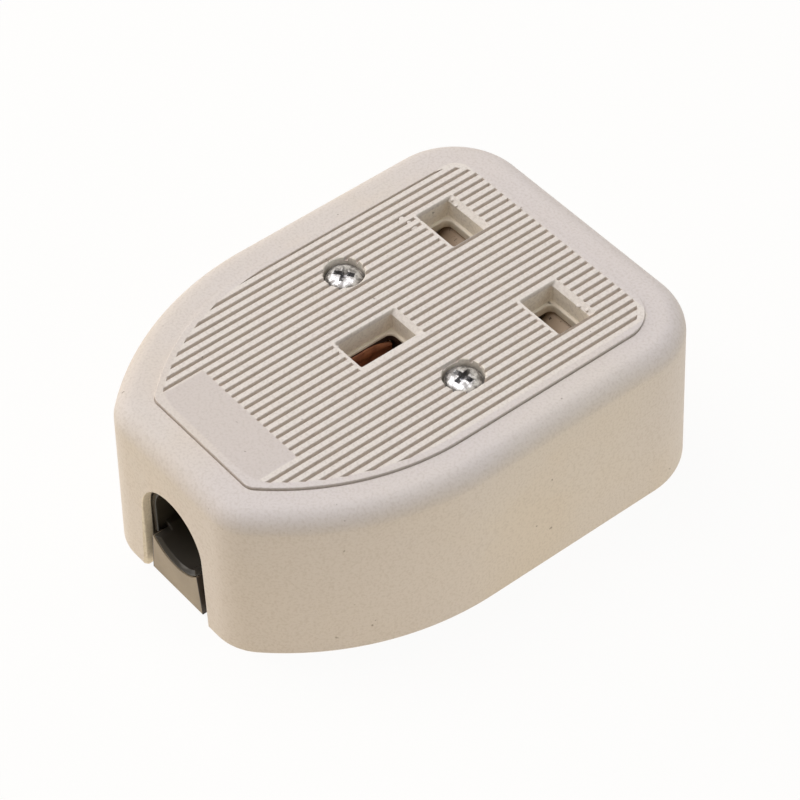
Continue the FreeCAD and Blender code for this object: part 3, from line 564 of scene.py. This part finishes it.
def archCutter():
    lip, relief, front = holes["archLip"], holes["archRelief"], coverLow.y
    mouth = front + holes["archLean"]  # the drafted wall leans in here
    back = front + holes["archWall"]
    levels = ((front - 0.5, 4 * lip), (mouth, lip), (mouth + lip * 0.35, lip * 0.35), (mouth + lip, 0),
              (back - 0.1, 0), (back, relief), (front + holes["archDepth"], relief))
    rings = []
    for y, grow in levels:
        radius = holes["archRadius"] + grow
        foot = radius + holes["archSplay"]
        ring = [(foot, y, -holes["past"])]
        for angle in np.radians(np.linspace(0, 180, 37)):
            ring.append((radius * math.cos(angle), y, holes["archHeight"] + radius * math.sin(angle)))
        ring.append((-foot, y, -holes["past"]))
        rings.append(ring)
    return litWalls(loftRings("arch", rings))


# Lowest and highest place where a line along the part crosses a ring
def spanAt(ring, x):
    crossings = []
    for (ax, ay, _), (bx, by, _) in zip(ring, ring[1:] + ring[:1]):
        if (ax - x) * (bx - x) < 0:
            crossings.append(ay + (by - ay) * (x - ax) / (bx - ax))
    return min(crossings), max(crossings)


# Stretches of one groove, as near and far ends of its two sides: it stops at the panel and the pin holes
def grooveRuns(field, middle, left, right):
    lows, highs = zip(spanAt(field, left), spanAt(field, right))
    if abs(middle) < ribs["panelHalf"]:
        lows = (ribs["panelTop"], ribs["panelTop"])
    runs = []
    for x, y, width, depth in sorted(pinHoles, key=lambda hole: hole[1]):
        if abs(middle - x) < width / 2 + ribs["width"] / 2:
            end = y - depth / 2 - ribs["land"]
            runs.append((lows, (end, end)))
            start = y + depth / 2 + ribs["farLand"]
            lows = (start, start)
    runs.append((lows, highs))
    return runs


def grooveCutter(left, right, lows, highs):
    top, flare, depth = coverHigh.z, ribs["flare"], ribs["depth"]
    levels = ((-depth, -flare), (-depth * 0.82, -flare * 0.3), (-flare * 1.4, 0),
              (-flare * 0.5, flare * 0.3), (0, flare), (flare * 2, flare * 3))
    rings = []
    for height, grow in levels:
        z = top + height
        ring = [(right + grow, highs[1] + grow, z), (left - grow, highs[0] + grow, z)]
        if lows[0] == lows[1]:  # square to the groove: the end is rounded
            middle, half = (left + right) / 2, (right - left) / 2
            reach = half + grow
            for angle in np.radians((180, 210, 240, 270, 300, 330, 360)):
                ring.append((middle + reach * math.cos(angle), lows[0] + half + reach * math.sin(angle), z))
        else:
            ring += [(left - grow, lows[0] - grow, z), (right + grow, lows[1] - grow, z)]
        rings.append(ring)
    return loftRings("groove", rings)


# Grooves between the ribs: a comb of flared channels whose ends follow the face's edge
def makeComb(outline):
    field = ringAt(outline, coverShape["faceInset"] + ribs["margin"], coverHigh.z)
    fieldHalf = max(x for x, _, _ in field) - 0.02
    channels = []
    for index in range(ribs["count"]):
        middle = (index - (ribs["count"] - 1) / 2) * ribs["pitch"] + ribs["shift"]
        left = max(middle - ribs["width"] / 2, -fieldHalf)
        right = min(middle + ribs["width"] / 2, fieldHalf)
        for lows, highs in grooveRuns(field, middle, left, right):
            channels.append(grooveCutter(left, right, lows, highs))
    return joinPieces("grooves", channels)


comb = makeComb(coverOutline)
# The grooves' walls take the painted-shade finish
comb.data.materials.append(grooveShadeRubber)
carve(coverPiece, comb)
screwLow, screwHigh = solidBox("case_screws")
screwY = (screwLow.y + screwHigh.y) / 2
headRadius = (screwHigh.y - screwLow.y) / 2
screwX = screwHigh.x - headRadius
openings = [pinHoleCutter(*hole) for hole in pinHoles]
openings += [boreCutter(-screwX, screwY), boreCutter(screwX, screwY), archCutter()]
mouths = joinPieces("openings", openings)
mouths.data.materials.append(coverRubber)
# The openings' walls take the paler finish, painted light
mouths.data.materials.append(mouthLitRubber)
carve(coverPiece, mouths)


# Scraps of flash left by the mould at the holes' corners: place, then how far the top lies below the ribs
flash = {
    "size": (0.36, 0.55, 0.24), "uneven": 0.28, "seed": 7,
    "scraps": [
        (-16.2, 16.1, 0.02), (-14.9, 16.4, 0.02), (-13.6, 16.3, 0.1), (-14.7, 24.2, 0.12), (-13.6, 24.0, 0.3),
        (-2.3, -6.5, 0.02), (-1.1, -6.6, 0.02), (12.5, 23.9, 0.3), (14.0, 24.1, 0.12), (-20.0, 3.9, 0.02),
    ],
}


def makeFlash():
    draw = np.random.default_rng(flash["seed"])
    scraps = []
    for x, y, drop in flash["scraps"]:
        ball = bmesh.new()
        bmesh.ops.create_icosphere(ball, subdivisions=2, radius=1)
        size = np.array(flash["size"]) * draw.uniform(0.7, 1.1, 3)
        points = []
        for vertex in ball.verts:
            reach = 1 - flash["uneven"] * draw.random()
            points.append(np.array(vertex.co) * reach * size + (x, y, coverHigh.z - drop - size[2]))
        faces = [[vertex.index for vertex in face.verts] for face in ball.faces]
        scraps.append(makePiece("scrap", points, faces))
        ball.free()
    return joinPieces("flash", scraps)


flashScraps = makeFlash()
flashScraps.data.materials.append(coverRubber)
carve(coverPiece, flashScraps, "UNION")
smooth(coverPiece)
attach(coverPiece, "housing")
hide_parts("rubber_cover")
print("cover carved:", len(coverPiece.data.polygons), "faces")


# Pan-head case screws with a cross recess, whose arms taper as they go down
screwShape = {
    "crossLength": 1.55, "crossWidth": 0.42, "crossDepth": 1.15, "taper": 0.5,
    "shank": 1.5, "tip": 0.7, "tipLength": 0.6, "headEdge": 0.55, "headFlat": 0.3,
    "spread": 0.15, "turns": (38, 12),
}


def crossArm(x, y, turn, high):
    angle = math.radians(turn)
    along = np.array((math.cos(angle), math.sin(angle)))
    across = np.array((-math.sin(angle), math.cos(angle)))
    rings = []
    for level, share in ((high - screwShape["crossDepth"], screwShape["taper"]), (high + 0.3, 1.12)):
        length, width = screwShape["crossLength"] * share, screwShape["crossWidth"] * share
        ring = []
        for ahead, aside in ((1, 1), (-1, 1), (-1, -1), (1, -1)):
            corner = np.array((x, y)) + along * length * ahead + across * width * aside
            ring.append((corner[0], corner[1], level))
        rings.append(ring)
    return loftRings("arm", rings)


def makeCaseScrew(x, y, turn):
    low, high, seat = screwLow.z, screwHigh.z, ceiling
    rise = high - seat
    head, shank, edge = headRadius + screwShape["spread"], screwShape["shank"], screwShape["headEdge"]
    profile = [(0, low), (shank * screwShape["tip"], low), (shank, low + screwShape["tipLength"]),
               (shank, seat), (head, seat), (head, seat + edge * rise)]
    for angle in np.radians((15, 30, 45, 60, 75)):
        profile.append((head * (0.45 + 0.55 * math.cos(angle)),
                        seat + rise * (edge + 0.44 * math.sin(angle))))
    profile += [(head * screwShape["headFlat"], high - 0.005), (0, high)]
    screw = lathe("screw", profile, (x, y))
    for arm in [crossArm(x, y, turn + quarter, high) for quarter in (0, 90)]:
        carve(screw, arm)
    return screw


caseScrews = joinPieces("case_screw_pair", [makeCaseScrew(side * screwX, screwY, turn)
                                            for side, turn in zip((-1, 1), screwShape["turns"])])
smooth(caseScrews, 40)
caseScrews.data.materials.append(zincSteel)
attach(caseScrews, "housing")
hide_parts("case_screws")
print("case screws made")


# The shutter's return spring, wound from round wire
springShape = {"wire": 0.2, "turns": 4, "stepsPerTurn": 36, "sides": 8, "keep": 0.31}


def makeSpring():
    low, high = solidBox("shutter_spring")
    wire = springShape["wire"]
    radius = (high.x - low.x) / 2 - wire
    middleZ = (low.z + high.z) / 2
    start, end = low.y + wire, high.y - wire
    total = springShape["turns"] * springShape["stepsPerTurn"]
    forward = np.array((0.0, 1.0, 0.0))
    rings = []
    for i in range(total + 1):
        angle = 2 * math.pi * i / springShape["stepsPerTurn"]
        outward = np.array((math.cos(angle), 0.0, -math.sin(angle)))
        centre = np.array((0.0, start + (end - start) * i / total, middleZ)) + radius * outward
        ring = []
        for side in range(springShape["sides"]):
            turn = 2 * math.pi * side / springShape["sides"]
            ring.append(tuple(centre + wire * (math.cos(turn) * outward + math.sin(turn) * forward)))
        rings.append(ring)
    return loftRings("return_spring", rings), high.y, middleZ


spring, springFoot, springLevel = makeSpring()
spring.data.shade_smooth()
spring.data.materials.append(springSteel)
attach(spring, "housing")
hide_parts("shutter_spring")
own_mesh(spring)
print("spring made")


# A dark hood behind the arch: it carries the cord grip's dark lining up and over the cable, and as a dark
# sheet it also stands for the shade inside the cable entry
hoodShape = {
    "middle": 12.0, "outer": 6.4, "inner": 5.4, "front": -35.5, "back": -31.7, "foot": 7.0, "edge": 0.35,
}


def makeHood():
    edge, front, foot = hoodShape["edge"], hoodShape["front"], hoodShape["foot"]
    angles = np.radians(np.linspace(0, 180, 37))
    slices = ((front, edge), (front + edge * 0.3, edge * 0.3), (front + edge, 0), (hoodShape["back"], 0))
    rings = []
    for y, shrink in slices:
        arcs = []
        for radius in (hoodShape["outer"] - shrink, hoodShape["inner"] + shrink):
            arc = [(radius, y, foot)]
            for angle in angles:
                arc.append((radius * math.cos(angle), y, hoodShape["middle"] + radius * math.sin(angle)))
            arcs.append(arc + [(-radius, y, foot)])
        rings.append(arcs[0] + arcs[1][::-1])
    return loftRings("grip_lining_and_shade_hood", rings)


hood = makeHood()
smooth(hood)
hood.data.materials.append(gripPlastic)
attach(hood, "housing")
print("hood made")


# Thin lead-in lips on the earth contact's two leaves, standing in the opening and cut away at the far end
lipShape = {
    "blade": 0.8, "thickness": 0.24, "bulge": 0.12, "roll": 0.14, "rise": 1.25, "foot": 0.4,
    "length": 8.2, "fall": 0.55, "fallShare": 0.95,
}


def makeEarthLip(side):
    _, high = solidBox("earth_contact")
    face = high.x - lipShape["blade"]
    rings = []
    for along in np.linspace(0, 1, 25):
        y = holes["earthY"] + (along - 0.5) * lipShape["length"]
        fall = max(0, (along - lipShape["fall"]) / (1 - lipShape["fall"]))
        rise = lipShape["rise"] * (1 - lipShape["fallShare"] * fall ** 1.6)
        inner, outer = [], []
        for share in np.linspace(0, 1, 9):
            x = face - lipShape["bulge"] * math.sin(math.pi * share) + lipShape["roll"] * share ** 4
            z = high.z - lipShape["foot"] + share * (lipShape["foot"] + rise)
            inner.append((side * x, y, z))
            outer.append((side * (x + lipShape["thickness"]), y, z))
        rings.append(inner + outer[::-1])
    return loftRings("lip", rings)


earthLips = joinPieces("earth_lips", [makeEarthLip(-1), makeEarthLip(1)])
smooth(earthLips)
earthLips.data.materials.append(contactBrass)
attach(earthLips, "housing")
print("earth lips made")


# The other solids keep their own meshes, each with a finish and its edges eased by so many millimetres
solidLooks = {
    "base_plate": (basePlastic, 0.2), "socket_insert": (insertPlastic, 0.22),
    "shutter": (shutterPlastic, 0.15), "line_contact": (contactBrass, 0.1),
    "neutral_contact": (contactBrass, 0.1), "earth_contact": (contactBrass, 0.1),
    "line_terminal": (contactBrass, 0.15), "neutral_terminal": (contactBrass, 0.15),
    "earth_terminal": (contactBrass, 0.15), "terminal_screws": (zincSteel, 0.12),
    "case_nuts": (zincSteel, 0.12), "cord_grip": (gripPlastic, 0.3),
    "cord_clamp": (basePlastic, 0.2), "cord_clamp_screws": (zincSteel, 0.12),
}


def dressSolid(solid, finish, ease):
    solid.data.materials.clear()
    solid.data.materials.append(finish)
    solid.data.shade_smooth()
    weld = solid.modifiers.new("weld", "WELD")
    weld.merge_threshold = 1e-6
    bevel = solid.modifiers.new("ease", "BEVEL")
    bevel.width = ease * mm
    bevel.segments = 2
    bevel.limit_method = "ANGLE"
    bevel.angle_limit = math.radians(40)
    weighted = solid.modifiers.new("weighted", "WEIGHTED_NORMAL")
    weighted.keep_sharp = False


for solidName, (finish, ease) in solidLooks.items():
    dressSolid(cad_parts[solidName], finish, ease)
print("solids dressed:", len(solidLooks))


# Floor and sky: the floor lies just under the rim, and near the part it bounces light onto the walls
stageSet = {
    "floorSize": 3.0, "drop": 0.05, "floor": (250, 240, 218), "floorGlow": 0.93,
    "bounceTone": (255, 240, 212), "bounceLevel": 1.35, "bounceFar": 0.25, "bounceNear": 0.45,
    "bounceReach": (0.06, 0.2), "sky": 0.16, "skyTone": (255, 247, 232),
}


# What the camera, mirrors and glass see: 1 for those rays and 0 for the light on the object
def seenRays(tree):
    rays = Wire(tree).node("ShaderNodeLightPath", {}, {}, "Is Camera Ray")
    owner = rays.socket.node
    glossy = Wire(tree, owner.outputs["Is Glossy Ray"])
    through = Wire(tree, owner.outputs["Is Transmission Ray"])
    return (rays + glossy + through).clamp(0, 1)


def makeFloorPaper():
    paper = bpy.data.materials.new("floorPaper")
    paper.use_nodes = True
    tree = paper.node_tree
    tree.nodes.clear()
    seen = seenRays(tree)
    matte = seen.node("ShaderNodeBsdfDiffuse", {}, {"Color": screen(*stageSet["floor"])})
    card = seen.node("ShaderNodeEmission", {}, {"Color": screen(*stageSet["bounceTone"]),
                                                "Strength": stageSet["bounceLevel"]})
    place = seen.node("ShaderNodeTexCoord", {}, {}, "Object")
    distance = seen.node("ShaderNodeVectorMath", {"operation": "LENGTH"}, {0: place}, "Value")
    near = 1 - distance.steps(*stageSet["bounceReach"])
    share = (1 - seen) * (near * stageSet["bounceNear"] + stageSet["bounceFar"])
    matte = seen.node("ShaderNodeMixShader", {}, {0: share, 1: matte, 2: card})
    glow = seen.node("ShaderNodeEmission", {}, {"Color": (1, 1, 1, 1), "Strength": 1.0})
    both = seen.node("ShaderNodeMixShader", {}, {0: seen * stageSet["floorGlow"], 1: matte, 2: glow})
    seen.node("ShaderNodeOutputMaterial", {}, {"Surface": both}, None)
    return paper


def makeFloor():
    half, low = stageSet["floorSize"] / 2, -stageSet["drop"] * mm
    corners = [(-half, -half, low), (half, -half, low), (half, half, low), (-half, half, low)]
    mesh = bpy.data.meshes.new("floor")
    mesh.from_pydata(corners, [], [[0, 1, 2, 3]])
    mesh.materials.append(makeFloorPaper())
    made = bpy.data.objects.new("floor", mesh)
    scene.collection.objects.link(made)
    return made


def makeSky():
    world = bpy.data.worlds.new("studio")
    world.use_nodes = True
    world.node_tree.nodes.clear()
    seen = seenRays(world.node_tree)
    strength = seen * (1 - stageSet["sky"]) + stageSet["sky"]
    tone = screen(*stageSet["skyTone"])
    light = seen.node("ShaderNodeBackground", {}, {"Color": tone, "Strength": strength})
    seen.node("ShaderNodeOutputWorld", {}, {"Surface": light}, None)
    return world


floor = makeFloor()
scene.world = makeSky()


# Soft lamps that look at the part, in metres and watts
lamps = {
    "key": {"place": (-0.25, -0.06, 0.82), "size": 0.90, "watts": 6.75, "tone": (250, 250, 255)},
    "frontLeft": {"place": (-0.78, -0.46, 0.34), "size": 0.50, "watts": 2.4, "tone": (255, 250, 244)},
    "rightBack": {"place": (0.75, 0.45, 0.28), "size": 0.50, "watts": 1.55, "tone": (230, 242, 255)},
}


def makeLamp(name, lamp):
    source = bpy.data.lights.new(name, "AREA")
    source.energy = lamp["watts"]
    source.size = lamp["size"]
    source.color = screen(*lamp["tone"])[:3]
    light = bpy.data.objects.new(name, source)
    light.location = lamp["place"]
    light.rotation_mode = "QUATERNION"
    light.rotation_quaternion = (-Vector(lamp["place"])).to_track_quat("-Z", "Y")
    scene.collection.objects.link(light)


for lampName, lamp in lamps.items():
    makeLamp(lampName, lamp)


# The camera at the photograph's viewing angle, in metres and degrees
cameraSet = {
    "lens": 146.5, "sensor": 36.0, "nearest": 0.01, "place": (0.24480, -0.18789, 0.33803),
    "azimuth": 52.155, "elevation": 46.477, "roll": -1.681,
}


def makeCamera():
    azimuth, elevation, roll = (math.radians(cameraSet[name]) for name in ("azimuth", "elevation", "roll"))
    back = Vector((math.sin(azimuth) * math.cos(elevation), -math.cos(azimuth) * math.cos(elevation),
                   math.sin(elevation)))
    level = Vector((math.cos(azimuth), math.sin(azimuth), 0))
    upright = back.cross(level)
    right = level * math.cos(roll) + upright * math.sin(roll)
    up = upright * math.cos(roll) - level * math.sin(roll)
    made = bpy.data.objects.new("camera", bpy.data.cameras.new("camera"))
    made.data.lens = cameraSet["lens"]
    made.data.sensor_width = cameraSet["sensor"]
    made.data.clip_start = cameraSet["nearest"]
    turned = Matrix((right, up, back)).transposed().to_4x4()
    made.matrix_world = Matrix.Translation(cameraSet["place"]) @ turned
    scene.collection.objects.link(made)
    return made


scene.camera = makeCamera()
print("stage set")
